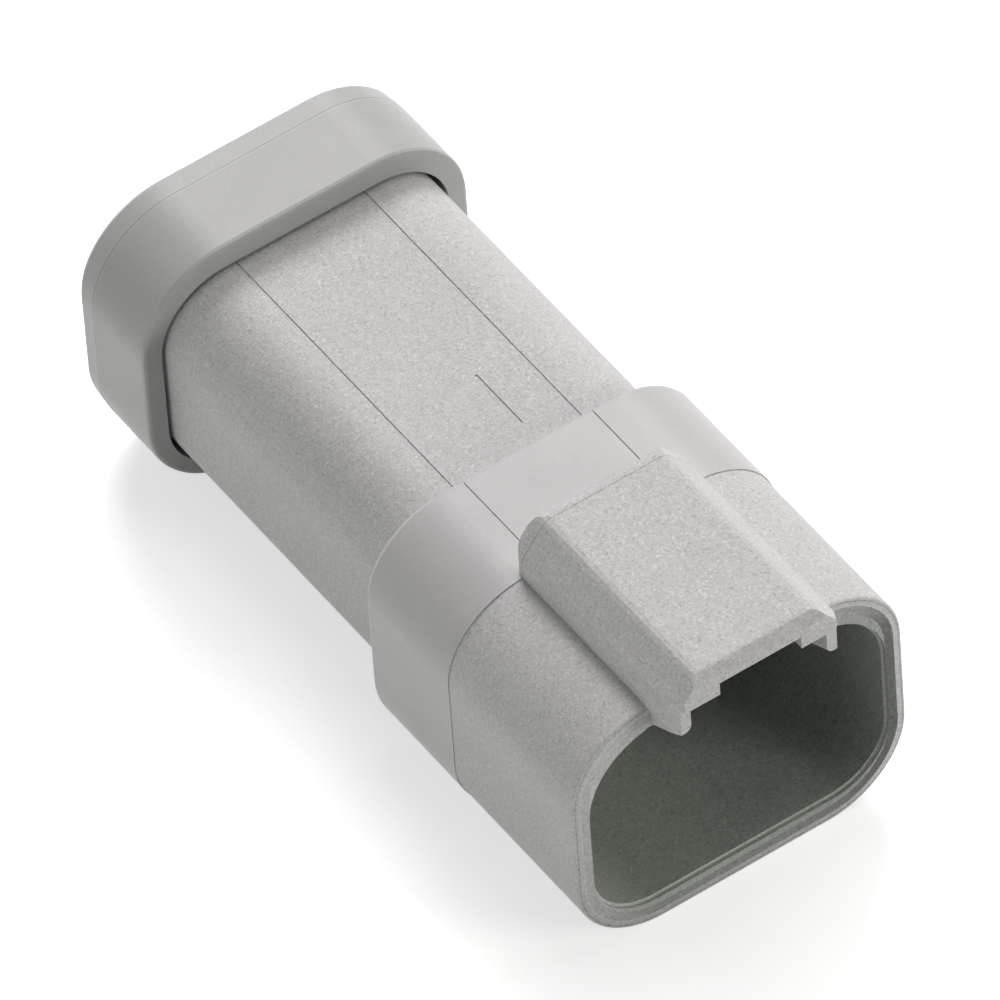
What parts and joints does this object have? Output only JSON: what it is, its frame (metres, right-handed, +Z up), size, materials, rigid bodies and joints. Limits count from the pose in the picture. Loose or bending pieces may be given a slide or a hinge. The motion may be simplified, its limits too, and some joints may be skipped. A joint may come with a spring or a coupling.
{
  "type": "sealed connector receptacle",
  "caption": "Sealed inline connector half: rounded shroud with a hollow latch block on top, round pins inside, a wedge lock, a wire seal and a rear cap.",
  "frame": {"origin": "bottom centre of the assembly, midway between the nose of the latch block and the rear face of the cap, on the surface that it rests on", "axes": "+X to the right seen from the mating end, -Y towards the mating end along the pins, +Z up towards the latch block"},
  "size_m": [0.0232, 0.0534, 0.022],
  "materials": {
    "housing": "glass-filled thermoplastic, fine spark-eroded texture on the body and latch block, satin elsewhere",
    "cap": "satin thermoplastic",
    "seal": "soft silicone, matt",
    "wedge": "smooth thermoplastic",
    "contacts": "nickel-plated copper alloy, turned"
  },
  "bodies": {
    "connector": {"housing": "housing", "rear_cap": "cap", "rear_seal": "seal", "contact_1": "contacts", "contact_2": "contacts", "contact_3": "contacts", "contact_4": "contacts"},
    "wedge": {"wedge_lock": "wedge"}
  },
  "joints": [
    {"name": "wedge_slide", "type": "slide", "parent": "connector", "child": "wedge", "axis": [0, -1, 0], "range_m": [0, 0.024]}
  ]
}
